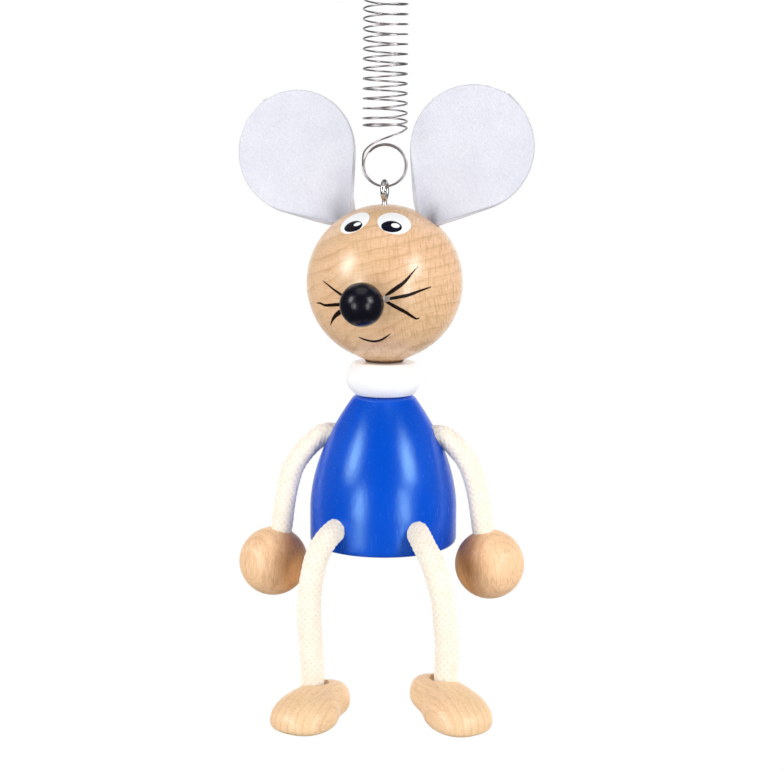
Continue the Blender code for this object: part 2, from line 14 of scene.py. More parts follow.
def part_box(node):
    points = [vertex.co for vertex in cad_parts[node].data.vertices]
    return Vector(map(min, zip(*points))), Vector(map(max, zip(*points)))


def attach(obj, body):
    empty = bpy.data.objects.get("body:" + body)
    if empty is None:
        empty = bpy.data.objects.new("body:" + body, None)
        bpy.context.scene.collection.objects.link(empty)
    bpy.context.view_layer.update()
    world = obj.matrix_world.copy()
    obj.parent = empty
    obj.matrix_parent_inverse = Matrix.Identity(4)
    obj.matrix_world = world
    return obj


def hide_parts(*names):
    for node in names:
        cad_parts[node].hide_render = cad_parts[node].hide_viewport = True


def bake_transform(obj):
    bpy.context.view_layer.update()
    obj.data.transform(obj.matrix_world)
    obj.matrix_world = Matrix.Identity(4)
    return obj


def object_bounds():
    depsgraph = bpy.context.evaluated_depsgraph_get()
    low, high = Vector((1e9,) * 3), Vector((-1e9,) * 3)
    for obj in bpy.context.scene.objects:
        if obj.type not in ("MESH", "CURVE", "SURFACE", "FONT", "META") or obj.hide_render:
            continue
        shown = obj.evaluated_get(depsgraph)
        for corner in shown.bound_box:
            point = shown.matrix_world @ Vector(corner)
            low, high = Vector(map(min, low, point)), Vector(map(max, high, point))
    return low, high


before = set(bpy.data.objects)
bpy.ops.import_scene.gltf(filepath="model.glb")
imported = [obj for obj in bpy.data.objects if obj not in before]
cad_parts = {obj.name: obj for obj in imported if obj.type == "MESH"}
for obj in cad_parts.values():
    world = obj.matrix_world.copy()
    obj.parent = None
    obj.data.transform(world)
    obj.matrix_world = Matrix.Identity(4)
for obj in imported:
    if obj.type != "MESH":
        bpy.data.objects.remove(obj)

CAD_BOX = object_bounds()
MM = 0.001

# ---- sizes in millimetres, and angles in radians

HEAD_RADIUS = 18.0
HEAD_TURN = radians(-7.0)
COLLAR_TOP = -18.3
COLLAR_WAIST = -21.95
COLLAR_BOTTOM = -25.95
COLLAR_RADIUS = 9.0
COLLAR_HEIGHT_RADIUS = 6.0
COLLAR_EDGE = 0.2
TORSO_TOP = -26.25
TORSO_SHOULDER_END = -53.0
TORSO_BOTTOM = -61.0
TORSO_TOP_RADIUS = 7.0
TORSO_RADIUS = 17.2
TORSO_CURVE_POWER = 1.9
TORSO_EDGE_ROUND = 1.3
NOSE_RADIUS = 4.85
NOSE_DISTANCE = 22.4
NOSE_DROP = radians(8.4)

WIRE_RADIUS = 0.2
LOOP_RADIUS = 4.85
LOOP_TURNS = 1.9
LOOP_WIRE_PITCH = 0.46
LOOP_START = -0.75 * LOOP_WIRE_PITCH
LOOP_WIDEN = 0.2
LOOP_INNER = 0.38
COIL_RADIUS = 4.95
COIL_PITCH = 2.19
COIL_TURNS = 33.75
CLOSED_PITCH = 1.5
CLOSED_TURNS = 1.5
COIL_END_TILT = radians(8.5)
COIL_TILT_REACH = 26.0
NECK_HEIGHT = 8.2
EYE_WIRE_RADIUS = 0.6
EYE_RING_RADIUS = 1.9
EYE_ABOVE_CROWN = 0.75
EYE_SHANK = 7.0
EYE_BEND = 0.42
EYE_OPENING = radians(26)

EAR_RADIUS = 14.1
EAR_RISE = 18.8
EAR_BASE_WIDTH = 5.5
EAR_THICKNESS = 0.8
EAR_ROOT_DEPTH = 3.3
EAR_LEAN = {"left_ear": radians(32.0), "right_ear": radians(37.5)}
EAR_SEAT_ANGLE = radians(33.5)
EAR_SET_BACK = 2.0
EAR_SOCKET_DEPTH = 7.6
EAR_SOCKET_STRETCH = (3.3, 2.75, 1.0)
EAR_SOCKET_FORWARD = 0.75
# How far the felt is rolled to each side in degrees, and how much further at its stem.
EAR_ROLL = 3.0
EAR_STEM_ROLL = 104.0
EAR_ROLL_REACH = 6.2
# Reaches in millimetres of the painted shade along the ear's cut rim and in the crease at its stem.
EAR_EDGE_SHADE_WIDTH = 0.32
EAR_FOLD_SHADE_REACH = 7.0
PAINT_HEIGHT = 0.05
PUPIL_HEIGHT = 0.08
GLINT_HEIGHT = 0.12
PAINT_RIM_DROP = 0.03
STROKE_WIDEN = 1.35

ARM_CORD_RADIUS = 2.35
LEG_CORD_RADIUS = 2.5
BORE_PLAY = 0.12
BORE_DEPTH = 7.4
BORE_SPARE = 0.3
DOWEL_BORE_RADIUS = 3.1
HEAD_BORE_DEPTH = 8.0
HAND_RADIUS = 8.0
CORD_IN_HAND = 4.0
CORD_IN_FOOT = 5.0
FOOT_BORE_PLAY = 0.6
FOOT_BORE_INWARD = 0.5
FOOT_BORE_BACK = 0.2
HIP_BORE_SPLAY = radians(26.0)
FOOT_LENGTH = 24.0
FOOT_WIDTH = 13.4
FOOT_HEIGHT = 8.6
FOOT_SOLE_SHARE = 0.32
FOOT_TOE_FLARE = 0.33
FOOT_WAIST = 0.16
FOOT_WAIST_PLACE = -0.22
FOOT_WAIST_REACH = 0.32
FOOT_ROUNDNESS = 2.3

# The limbs' centre lines from the mouths of their bores, as the CAD has them.
LIMB_ROUTES = {
    "right_arm": [(-13.6, 0.0, -35.6), (-16.0, -0.6, -37.0), (-18.0, -1.2, -38.9), (-19.8, -1.8, -41.2),
                  (-21.1, -2.4, -43.6), (-22.0, -3.1, -46.8), (-22.65, -3.8, -50.5), (-23.1, -4.4, -54.3),
                  (-23.45, -4.8, -57.5), (-24.3, -5.0, -61.0)],
    "left_arm": [(13.6, 0.0, -35.6), (15.8, -0.6, -36.8), (17.6, -1.2, -38.5), (19.3, -1.8, -40.5),
                 (20.6, -2.4, -42.8), (21.7, -3.1, -45.9), (22.55, -3.8, -49.5), (23.2, -4.4, -53.2),
                 (23.7, -4.8, -56.5), (24.5, -5.0, -60.0)],
    "right_leg": [(-9.4, -14.4, -55.4), (-11.1, -18.3, -56.9), (-12.7, -21.3, -60.2), (-13.55, -23.2, -64.7),
                  (-13.85, -24.1, -69.1), (-13.8, -24.5, -73.5), (-13.35, -24.8, -80.0),
                  (-13.1, -25.0, -84.1), (-13.0, -25.0, -90.0)],
    "left_leg": [(9.3, -14.5, -55.4), (11.1, -18.3, -57.3), (13.1, -21.4, -60.0), (14.7, -23.3, -63.9),
                 (15.9, -24.2, -68.2), (16.4, -24.6, -72.4), (16.9, -24.8, -78.9),
                 (16.8, -25.0, -82.9), (16.7, -25.0, -88.7)],
}
HAND_CENTRES = {"right_hand": (-25.3, -5.2, -65.3), "left_hand": (25.35, -5.2, -64.4)}
# Centre, outward turn and toe-down tilt of each foot.
FEET = {
    "right_foot": ((-11.9, -28.0, -93.3), radians(-23.0), radians(2.0)),
    "left_foot": ((17.0, -28.0, -91.3), radians(38.0), radians(8.0)),
}

# The head's centre in metres, worked out from the frame's collar. The heights after it are in
# millimetres from the frame's origin, along the spring's axis.
collar_low, collar_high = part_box("collar")
HEAD = Vector(((collar_low.x + collar_high.x) / 2, (collar_low.y + collar_high.y) / 2,
               collar_high.z - COLLAR_TOP * MM))
TOP_LOOP_CENTRE = -(LOOP_RADIUS - WIRE_RADIUS)
COIL_TOP = TOP_LOOP_CENTRE - NECK_HEIGHT
COIL_BOTTOM = COIL_TOP - COIL_PITCH * (COIL_TURNS - CLOSED_TURNS) - CLOSED_PITCH * CLOSED_TURNS
BOTTOM_LOOP_CENTRE = COIL_BOTTOM - NECK_HEIGHT
EYE_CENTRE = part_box("screw_eye")[1].z / MM - EYE_RING_RADIUS - EYE_WIRE_RADIUS
EYE_FOOT = EYE_CENTRE - EYE_RING_RADIUS - EYE_WIRE_RADIUS

CAMERA_FROM_HEAD = Vector((36.1, -344.3, 24.7)) * MM
CAMERA_TURN = radians(5.7)
CAMERA_PITCH = radians(8.0)
CAMERA_ROLL = radians(0.4)
CAMERA_LENS = 69.0

# Brightness of the sky, by share of the way from the camera's side to the back.
SKY_LEVELS = ((0.40, 0.03), (0.84, 0.06), (0.98, 1.0))
# Azimuth and elevation in degrees, distance and size in metres, and radiance of each light.
SOFTBOXES = {
    "upper_left_box": (-54.0, 27.0, 0.55, (0.14, 0.22), 12.8),
    "upper_right_box": (54.0, 27.0, 0.55, (0.14, 0.22), 13.8),
    "lower_left_box": (-31.0, -2.0, 0.75, (0.13, 0.34), 13.5),
    "lower_right_box": (39.0, -2.0, 0.75, (0.13, 0.34), 12.0),
    "top_box": (0.0, 80.0, 0.70, (0.50, 0.50), 1.2),
}
# Wide dim boxes at the sides and the back, which brighten surfaces but make no highlights.
FILL_BOXES = {
    "left_fill": (-112.0, 4.0, 0.80, (0.70, 0.80), 2.5),
    "right_fill": (112.0, 4.0, 0.80, (0.70, 0.80), 2.7),
    "back_fill": (180.0, 25.0, 0.90, (0.60, 0.60), 2.4),
}
LIGHT_AIM = (0.0, 0.0, -30.0)
FLOOR_ALBEDO = 0.55
FLOOR_DROP = 0.12


def from_head(x, y, z):
    return HEAD + Vector((x, y, z)) * MM


def side_of(name):
    """The sign of X on which a left or right piece lies."""
    return 1 if name.startswith("left") else -1


def towards(azimuth, elevation):
    """A direction from its angles in degrees. Azimuth is from the front to the mouse's left."""
    across, up = radians(azimuth), radians(elevation)
    return Vector((sin(across) * cos(up), -cos(across) * cos(up), sin(up)))


def face_direction(longitude, latitude):
    """The same on the head, where longitude is from the middle of its turned face."""
    return Matrix.Rotation(HEAD_TURN, 3, "Z") @ towards(longitude, latitude)


NOSE_DIRECTION = face_direction(0.0, -degrees(NOSE_DROP))

# ---- camera, floor and lights


def add_object(name, data):
    obj = bpy.data.objects.new(name, data)
    bpy.context.scene.collection.objects.link(obj)
    return obj


def add_camera():
    camera = add_object("camera", bpy.data.cameras.new("camera"))
    camera.data.lens = CAMERA_LENS
    camera.data.clip_start = 0.01
    camera.data.clip_end = 20.0
    turn = (Matrix.Rotation(CAMERA_TURN, 4, "Z") @ Matrix.Rotation(pi / 2 - CAMERA_PITCH, 4, "X")
            @ Matrix.Rotation(CAMERA_ROLL, 4, "Z"))
    camera.matrix_world = Matrix.Translation(HEAD + CAMERA_FROM_HEAD) @ turn
    bpy.context.scene.camera = camera


def add_softbox(name, azimuth, elevation, distance, size, radiance):
    """A rectangular light, aimed at the figure's shoulders."""
    away = towards(azimuth, elevation)
    light = bpy.data.lights.new(name, "AREA")
    light.shape = "RECTANGLE"
    light.size, light.size_y = size
    light.energy = radiance * pi * size[0] * size[1]
    lamp = add_object(name, light)
    lamp.location = from_head(*LIGHT_AIM) + away * distance
    lamp.rotation_euler = away.to_track_quat("Z", "Y").to_euler()
    return lamp


def add_sky():
    """Soft white light that is brightest behind the figure and dim on the camera's side."""
    world = bpy.data.worlds.new("studio")
    bpy.context.scene.world = world
    world.use_nodes = True
    g = Tree(world.node_tree)
    direction = g.add("ShaderNodeTexCoord").outputs["Generated"]
    share = g.math("MULTIPLY_ADD", g.add("ShaderNodeSeparateXYZ", direction).outputs["Y"], 0.5, 0.5)
    background = g.tree.nodes["Background"]
    g.feed(background.inputs["Color"], g.ramp(share, *SKY_LEVELS))
    g.white_to_camera(background)


def add_studio():
    add_sky()
    for boxes, glossy in ((SOFTBOXES, True), (FILL_BOXES, False)):
        for name, box in boxes.items():
            add_softbox(name, *box).visible_glossy = glossy
    bpy.context.scene.view_settings.view_transform = "Standard"
    bm = bmesh.new()
    bmesh.ops.create_grid(bm, x_segments=1, y_segments=1, size=6.0)
    paper = Graph("floor_paper", (FLOOR_ALBEDO,) * 3, 0.9)
    paper.white_to_camera(paper.shader)
    sheet = link_mesh("floor", bm, paper.material)
    sheet.location.z = CAD_BOX[0].z - FLOOR_DROP
    sheet.visible_glossy = False


# ---- the nodes of the sky and the materials


class Tree:
    """A node tree, with short ways to add the nodes that the sky and the surfaces need."""

    def __init__(self, tree):
        self.tree = tree

    def add(self, kind, *inputs, **settings):
        node = self.tree.nodes.new(kind)
        for key, value in settings.items():
            setattr(node, key, value)
        for index, value in enumerate(inputs):
            self.feed(node.inputs[index], value)
        return node

    def feed(self, socket, value):
        if isinstance(value, bpy.types.NodeSocket):
            self.tree.links.new(value, socket)
        elif value is not None:
            socket.default_value = value

    def noise(self, vector, scale, detail=2.0, roughness=0.5, distortion=0.0):
        node = self.add("ShaderNodeTexNoise")
        names = ("Vector", "Scale", "Detail", "Roughness", "Distortion")
        for key, value in zip(names, (vector, scale, detail, roughness, distortion)):
            self.feed(node.inputs[key], value)
        return node.outputs["Fac"]

    def math(self, operation, first, second=0.5, third=0.5):
        return self.add("ShaderNodeMath", first, second, third, operation=operation).outputs[0]

    def attribute(self, name):
        return self.add("ShaderNodeAttribute", attribute_name=name).outputs["Fac"]

    def ramp(self, value, *stops):
        """A smooth ramp through (position, value) stops; a value may be a number or a colour."""
        node = self.add("ShaderNodeValToRGB", value)
        ramp = node.color_ramp
        while len(ramp.elements) < len(stops):
            ramp.elements.new(1.0)
        for element, (position, shade) in zip(ramp.elements, stops):
            element.position = position
            element.color = (*shade, 1.0) if isinstance(shade, tuple) else (shade, shade, shade, 1.0)
        return node.outputs["Color"]

    def mix(self, share, first, second, blend="MIX"):
        node = self.add("ShaderNodeMix", data_type="RGBA", blend_type=blend)
        self.feed(node.inputs[0], share)
        for socket, value in ((node.inputs[6], first), (node.inputs[7], second)):
            self.feed(socket, (*value, 1.0) if isinstance(value, tuple) else value)
        return node.outputs[2]

    def white_to_camera(self, shader):
        """Shows a surface or the sky as plain white paper, and leaves the light that it sheds as it is."""
        seen = self.add("ShaderNodeLightPath").outputs["Is Camera Ray"]
        paper = self.add("ShaderNodeEmission").outputs[0]
        choice = self.add("ShaderNodeMixShader", seen, shader.outputs[0], paper).outputs[0]
        output = next(node for node in self.tree.nodes if node.type.startswith("OUTPUT"))
        self.feed(output.inputs["Surface"], choice)


class Graph(Tree):
    """A material's nodes. Place holds the surface's own coordinates."""

    def __init__(self, name, colour, roughness, metallic=0.0, coordinates="Object"):
        self.material = bpy.data.materials.new(name)
        self.material.use_nodes = True
        super().__init__(self.material.node_tree)
        self.shader = self.tree.nodes["Principled BSDF"]
        self.place = self.add("ShaderNodeTexCoord").outputs[coordinates]
        self.set("Base Color", (*colour, 1.0))
        self.set("Roughness", roughness)
        self.set("Metallic", metallic)

    def mapped(self, scale, rotation=(0.0, 0.0, 0.0), source=None):
        """The surface's own coordinates, or the source's, scaled and then turned."""
        return self.add("ShaderNodeMapping", source or self.place, (0, 0, 0), rotation, scale).outputs[0]

    def in_millimetres(self):
        return self.mapped((1 / MM, 1 / MM, 1 / MM))

    def grain(self, vector, stretch, detail=2.0, roughness=0.5, distortion=0.0):
        """Noise that is drawn out along an axis by a small stretch there, and made finer by a large one."""
        return self.noise(self.mapped(stretch, source=vector), 1.0, detail, roughness, distortion)

    def bump(self, height, depth, strength=1.0):
        """Depth is how far a full step of height stands out, in metres."""
        node = self.add("ShaderNodeBump", strength, depth)
        self.feed(node.inputs["Height"], height)
        self.feed(self.shader.inputs["Normal"], node.outputs[0])

    def set(self, name, value):
        self.feed(self.shader.inputs[name], value)


def beech(name, turn, ring_centre, ring_stretch, spacing, light=(0.83, 0.562, 0.33), ring_share=0.8,
          ray_share=0.0, fibre_share=0.10, torso_side_shade=None, coat=0.6, coat_roughness=0.24, depth=1.0):
    """Lacquered beech. Its fibres run along X once the piece's own axes are turned.

    Growth rings are shells round a centre, in turned millimetres from the piece's middle. Pores
    show as short dark dashes along the fibres, and rays as faint lines across them. Painted shade,
    browned like light bounced off the wood, can darken one side: the sign of X that it is on, and
    where it starts and is fullest. Depth scales how fast the grain changes along turned Y, so a low
    one draws it out on a front face.
    """
    g = Graph(name, light, 0.38)
    g.set("Coat Weight", coat)
    g.set("Coat Roughness", coat_roughness)
    own = g.in_millimetres()
    at = g.mapped((1.0, 1.0, 1.0), turn, source=own)
    wander = g.noise(at, 0.055, 2.0, 0.45)
    ragged = g.noise(at, 0.5, 3.0, 0.6)
    shifted = g.add("ShaderNodeVectorMath", at, Vector(ring_centre), operation="SUBTRACT").outputs[0]
    shells = g.add("ShaderNodeVectorMath", shifted, Vector(ring_stretch), operation="MULTIPLY").outputs[0]
    radius = g.add("ShaderNodeVectorMath", shells, operation="LENGTH").outputs["Value"]
    radius = g.math("MULTIPLY_ADD", wander, 5.0, radius)
    radius = g.math("MULTIPLY_ADD", ragged, 0.40, radius)
    phase = g.math("FRACT", g.math("DIVIDE", radius, spacing))
    line = g.ramp(phase, (0.0, 0.12), (0.35, 0.02), (0.75, 0.40), (0.90, 1.0), (0.95, 0.85), (1.0, 0.12))
    faint = g.ramp(g.noise(at, 0.13, 2.0), (0.36, 0.22), (0.62, 1.0))
    rings = g.math("MULTIPLY", line, faint)
    pores = g.grain(at, (0.45, 6.0 * depth, 6.0), 2.0, 0.55)
    fibres = g.grain(at, (0.09, 2.8 * depth, 2.8), 3.0, 0.65)
    rays = g.grain(at, (3.4, 0.3, 0.30), 2.0, 0.55)
    across = g.add("ShaderNodeSeparateXYZ", own).outputs["X"]
    ray_side = g.add("ShaderNodeMapRange", across, -10.0, 8.0, 0.3 * ray_share, ray_share).outputs[0]
    tint = g.noise(at, 0.06, 2.0)
    base = g.mix(g.ramp(tint, (0.35, 0.0), (0.65, 1.0)), tuple(0.96 * c for c in light),
                 (light[0] * 1.02, light[1] * 0.96, light[2] * 0.99))
    base = g.mix(g.ramp(fibres, (0.30, fibre_share * 2.2), (0.52, 0.0), (0.72, fibre_share)), base,
                 (0.64, 0.37, 0.18))
    base = g.mix(g.math("MULTIPLY", rings, ring_share), base, (0.58, 0.315, 0.135))
    base = g.mix(g.ramp(pores, (0.55, 0.0), (0.68, 0.38)), base, (0.54, 0.30, 0.13))
    base = g.mix(g.math("MULTIPLY", g.ramp(rays, (0.52, 0.0), (0.62, 0.60)), ray_side), base,
                 (0.55, 0.32, 0.15))
    # Painted shade and bounced brown light, darkening the side that faces the torso.
    if torso_side_shade:
        side, start, full = torso_side_shade
        uneven = g.math("MULTIPLY_ADD", g.noise(at, 0.3, 2.0), 1.6, g.math("MULTIPLY", across, side))
        share = g.add("ShaderNodeMapRange", uneven, start + 0.8, full + 0.8, 0.0, 0.85).outputs[0]
        base = g.mix(share, base, (0.56, 0.36, 0.17), "MULTIPLY")
    g.set("Base Color", base)
    g.set("Roughness", g.ramp(fibres, (0.3, 0.47), (0.7, 0.36)))
    g.bump(g.math("SUBTRACT", fibres, g.math("MULTIPLY", pores, 0.6)), 0.00004, 0.35)
    return g.material


def lacquer(name, colour, roughness, streak_depth, gloss=0.5, tint=0.06, shine=(1.0, 1.0, 1.0)):
    """Paint on turned wood: the grain under it shows as fine upright streaks in the gloss.

    Tint is how far the colour wanders, and shine is the colour of the gloss.
    """
    g = Graph(name, colour, roughness)
    g.set("Specular IOR Level", gloss)
    g.set("Specular Tint", (*shine, 1.0))
    at = g.in_millimetres()
    streaks = g.grain(at, (2.6, 2.6, 0.30), 3.0, 0.65)
    grit = g.noise(at, 2.2, 2.0, 0.6)
    clouds = g.ramp(g.noise(at, 0.09, 2.0), (0.3, 0.0), (0.7, 1.0))
    darker = tuple(c * (1.0 - tint) for c in colour)
    lighter = tuple(min(1.0, c * (1.0 + tint)) for c in colour)
    g.set("Base Color", g.mix(clouds, darker, lighter))
    g.set("Roughness", g.ramp(streaks, (0.3, roughness * 1.2), (0.7, roughness * 0.85)))
    g.bump(g.math("ADD", streaks, g.math("MULTIPLY", grit, 0.5)), streak_depth, 0.7)
    return g.material


def fabric(name, colour, roughness, sheen_roughness, coordinates="Object"):
    """A dull surface of fibres, with a little sheen."""
    g = Graph(name, colour, roughness, coordinates=coordinates)
    g.set("Sheen Weight", 0.25)
    g.set("Sheen Roughness", sheen_roughness)
    g.set("Specular IOR Level", 0.2)
    return g


def felt():
    """Brushed grey-white felt: short fibres that lie aslant, with painted shade along its cut rim and in the
    crease at its stem.
    """
    g = fabric("ear_felt", (0.77, 0.775, 0.84), 0.95, 0.5)
    at = g.in_millimetres()
    slant = g.mapped((1.0, 1.0, 1.0), (0.0, 0.55, 0.0), source=at)
    clouds = g.noise(at, 0.14, 2.0, 0.5)
    nap = g.noise(g.mapped((3.0, 3.0, 1.6), source=slant), 1.1, 4.0, 0.75, 0.6)
    strands = g.grain(slant, (5.0, 5.0, 1.3), 4.0, 0.8, 1.4)
    pale = g.mix(g.ramp(clouds, (0.35, 0.0), (0.68, 1.0)), (0.70, 0.705, 0.78), (0.75, 0.755, 0.82))
    pale = g.mix(g.ramp(nap, (0.34, 0.55), (0.56, 0.0)), pale, (0.56, 0.565, 0.64))
    pale = g.mix(g.ramp(strands, (0.54, 0.0), (0.68, 0.6)), pale, (0.89, 0.895, 0.95))
    # Painted shade: darker along the cut rim, and in the crease at the stem.
    cut = g.attribute("edge_shade")
    pale = g.mix(g.math("MULTIPLY", cut, 0.55), pale, (0.46, 0.45, 0.49))
    fold_shade_mask = g.attribute("fold_shade")
    pale = g.mix(g.math("MULTIPLY", fold_shade_mask, 0.24), pale, (0.42, 0.415, 0.46))
    g.set("Base Color", pale)
    g.bump(g.math("ADD", nap, strands), 0.00014, 0.6)
    return g.material


def cotton():
    """Raw cotton yarn: cream, with warm specks, painted tan shade down the crevices between its strands, and
    fuzz.
    """
    g = fabric("braided_cotton", (0.95, 0.90, 0.81), 0.92, 0.45, "UV")
    specks = g.noise(g.place, 3.6, 2.0, 0.6)
    fuzz = g.noise(g.mapped((6.0, 2.0, 1.0), (0.0, 0.0, 0.7)), 2.0, 3.0, 0.7)
    clouds = g.ramp(g.noise(g.place, 0.35, 2.0), (0.3, 0.0), (0.7, 1.0))
    tone = g.mix(clouds, (0.95, 0.875, 0.745), (0.98, 0.925, 0.815))
    # Painted shade: tan darkening down in the crevices between strands, stronger in patches.
    crevice = g.attribute("crevice")
    patchy_crevice_shade = g.ramp(g.noise(g.place, 0.9, 3.0, 0.6), (0.34, 0.15), (0.58, 0.95))
    tone = g.mix(g.math("MULTIPLY", crevice, patchy_crevice_shade), tone, (0.80, 0.66, 0.54))
    tone = g.mix(g.ramp(specks, (0.55, 0.0), (0.66, 0.4)), tone, (0.66, 0.46, 0.32))
    tone = g.mix(g.ramp(fuzz, (0.34, 0.35), (0.52, 0.0)), tone, (0.80, 0.66, 0.50))
    g.set("Base Color", tone)
    g.bump(g.math("ADD", fuzz, specks), 0.00010, 0.55)
    return g.material


def wire_steel():
    """Drawn spring wire: grey-brown, with fine draw marks."""
    g = Graph("spring_steel", (0.50, 0.46, 0.48), 0.34, 0.95, coordinates="UV")
    marks = g.noise(g.mapped((9.0, 0.35, 1.0)), 1.4, 3.0, 0.6)
    g.set("Base Color", g.mix(marks, (0.38, 0.345, 0.355), (0.62, 0.575, 0.59)))
    g.set("Roughness", g.ramp(marks, (0.3, 0.24), (0.7, 0.42)))
    return g.material


def plated_steel():
    g = Graph("screw_eye_plate", (0.72, 0.72, 0.74), 0.24, 1.0)
    wear = g.noise(g.in_millimetres(), 0.9, 3.0, 0.6)
    g.set("Base Color", g.mix(wear, (0.62, 0.62, 0.64), (0.82, 0.82, 0.84)))
    g.set("Roughness", g.ramp(wear, (0.3, 0.18), (0.7, 0.32)))
    return g.material


def paint(name, colour, worn=None, wear=0.8, roughness=0.35, gloss=0.5):
    """Brushed or printed paint, a little uneven, and worn through to another colour in small spots."""
    g = Graph(name, colour, roughness)
    g.set("Specular IOR Level", gloss)
    at = g.in_millimetres()
    uneven = g.noise(at, 1.3, 3.0, 0.6)
    shade = g.mix(uneven, tuple(0.85 * c for c in colour), colour)
    if worn:
        shade = g.mix(g.ramp(g.noise(at, 1.6, 3.0, 0.7), (0.50, 0.0), (0.60, wear)), shade, worn)
    g.set("Base Color", shade)
    g.set("Roughness", g.ramp(uneven, (0.3, roughness * 1.2), (0.7, roughness * 0.85)))
    return g.material


# ---- meshes


def round_off(mesh, sharp):
    """Shades a mesh as smooth, but for edges that turn by more than that many degrees."""
    mesh.shade_smooth()
    mesh.set_sharp_from_angle(angle=radians(sharp))


def link_mesh(name, bm, material, place=(0.0, 0.0, 0.0), rotation=None, sharp=40.0):
    """An object at that place, whose mesh is turned by the rotation."""
    if rotation is not None:
        bm.transform(rotation.to_4x4())
    mesh = bpy.data.meshes.new(name)
    bm.to_mesh(mesh)
    bm.free()
    round_off(mesh, sharp)
    mesh.materials.append(material)
    obj = add_object(name, mesh)
    obj.location = place
    return obj


def finish_cuts(obj, sharp=40.0):
    """Applies an object's modifiers to its mesh."""
    graph = bpy.context.evaluated_depsgraph_get()
    mesh = bpy.data.meshes.new_from_object(obj.evaluated_get(graph))
    obj.modifiers.clear()
    obj.data = mesh
    round_off(mesh, sharp)


def cut_away(target, cutter_bm, place, rotation=None):
    """Takes a closed shape out of the target and removes the cutter."""
    cutter = link_mesh("cutter", cutter_bm, target.data.materials[0], place, rotation)
    boolean = target.modifiers.new("cut", "BOOLEAN")
    boolean.operation = "DIFFERENCE"
    boolean.object = cutter
    bpy.context.view_layer.update()
    finish_cuts(target)
    bpy.data.objects.remove(cutter)


def rod_bm(radius, length):
    """A closed cylinder along Z, centred on its own origin."""
    bm = bmesh.new()
    bmesh.ops.create_cone(bm, cap_ends=True, segments=48, radius1=radius * MM, radius2=radius * MM,
                          depth=length * MM)
    return bm


def bore(target, radius, mouth, inward, depth, overshoot=4.0):
    """A blind round hole, drilled along inward from its mouth, a place in metres."""
    inward = Vector(inward).normalized()
    centre = mouth + inward * (depth - overshoot) / 2 * MM
    cut_away(target, rod_bm(radius, depth + overshoot), centre, inward.to_track_quat("Z", "Y").to_matrix())


def ball_bm(radius, segments, rings):
    bm = bmesh.new()
    bmesh.ops.create_uvsphere(bm, u_segments=segments, v_segments=rings, radius=radius * MM)
    return bm


def skin(bm, rows, closed=False):
    """Joins each row of vertices to the next with faces, all the way round where rows are closed."""
    for row, after in zip(rows, rows[1:]):
        for index in range(len(row) - (not closed)):
            other = (index + 1) % len(row)
            bm.faces.new((row[index], row[other], after[other], after[index]))


def turned_bm(profile, segments=160):
    """A solid of revolution from (radius, height) pairs that run down its outer side."""
    bm = bmesh.new()
    rings = []
    for radius, height in profile:
        ring = []
        for step in range(segments):
            angle = tau * step / segments
            place = Vector((radius * cos(angle), radius * sin(angle), height))
            ring.append(bm.verts.new(place * MM))
        rings.append(ring)
    skin(bm, rings, closed=True)
    bm.faces.new(rings[0])
    bm.faces.new(reversed(rings[-1]))
    bmesh.ops.recalc_face_normals(bm, faces=bm.faces)
    return bm


def smooth_route(points, spacing):
    """Points about that far apart on the Catmull-Rom curve through the given points."""
    points = [Vector(point) for point in points]
    ends = [2 * points[0] - points[1], *points, 2 * points[-1] - points[-2]]
    fine = []
    steps = 24
    for before, start, end, after in zip(ends, ends[1:], ends[2:], ends[3:]):
        for step in range(steps):
            t = step / steps
            fine.append(0.5 * (2 * start + (end - before) * t
                               + (2 * before - 5 * start + 4 * end - after) * t**2
                               + (3 * start - before - 3 * end + after) * t**3))
    fine.append(points[-1])
    lengths = [0.0]
    for here, there in zip(fine, fine[1:]):
        lengths.append(lengths[-1] + (there - here).length)
    count = max(2, round(lengths[-1] / spacing) + 1)
    even = []
    index = 0
    for number in range(count):
        target = lengths[-1] * number / (count - 1)
        while index < len(fine) - 2 and lengths[index + 1] < target:
            index += 1
        share = (target - lengths[index]) / (lengths[index + 1] - lengths[index])
        even.append(fine[index].lerp(fine[index + 1], min(share, 1.0)))
    return even


def frames_along(points):
    """For each point, two directions across the route that turn as little as they can."""
    tangents = []
    for index in range(len(points)):
        before, after = points[max(index - 1, 0)], points[min(index + 1, len(points) - 1)]
        tangents.append((after - before).normalized())
    side = tangents[0].orthogonal().normalized()
    frames = []
    for tangent in tangents:
        side = (side - tangent * side.dot(tangent)).normalized()
        frames.append((side, tangent.cross(side)))
    return frames


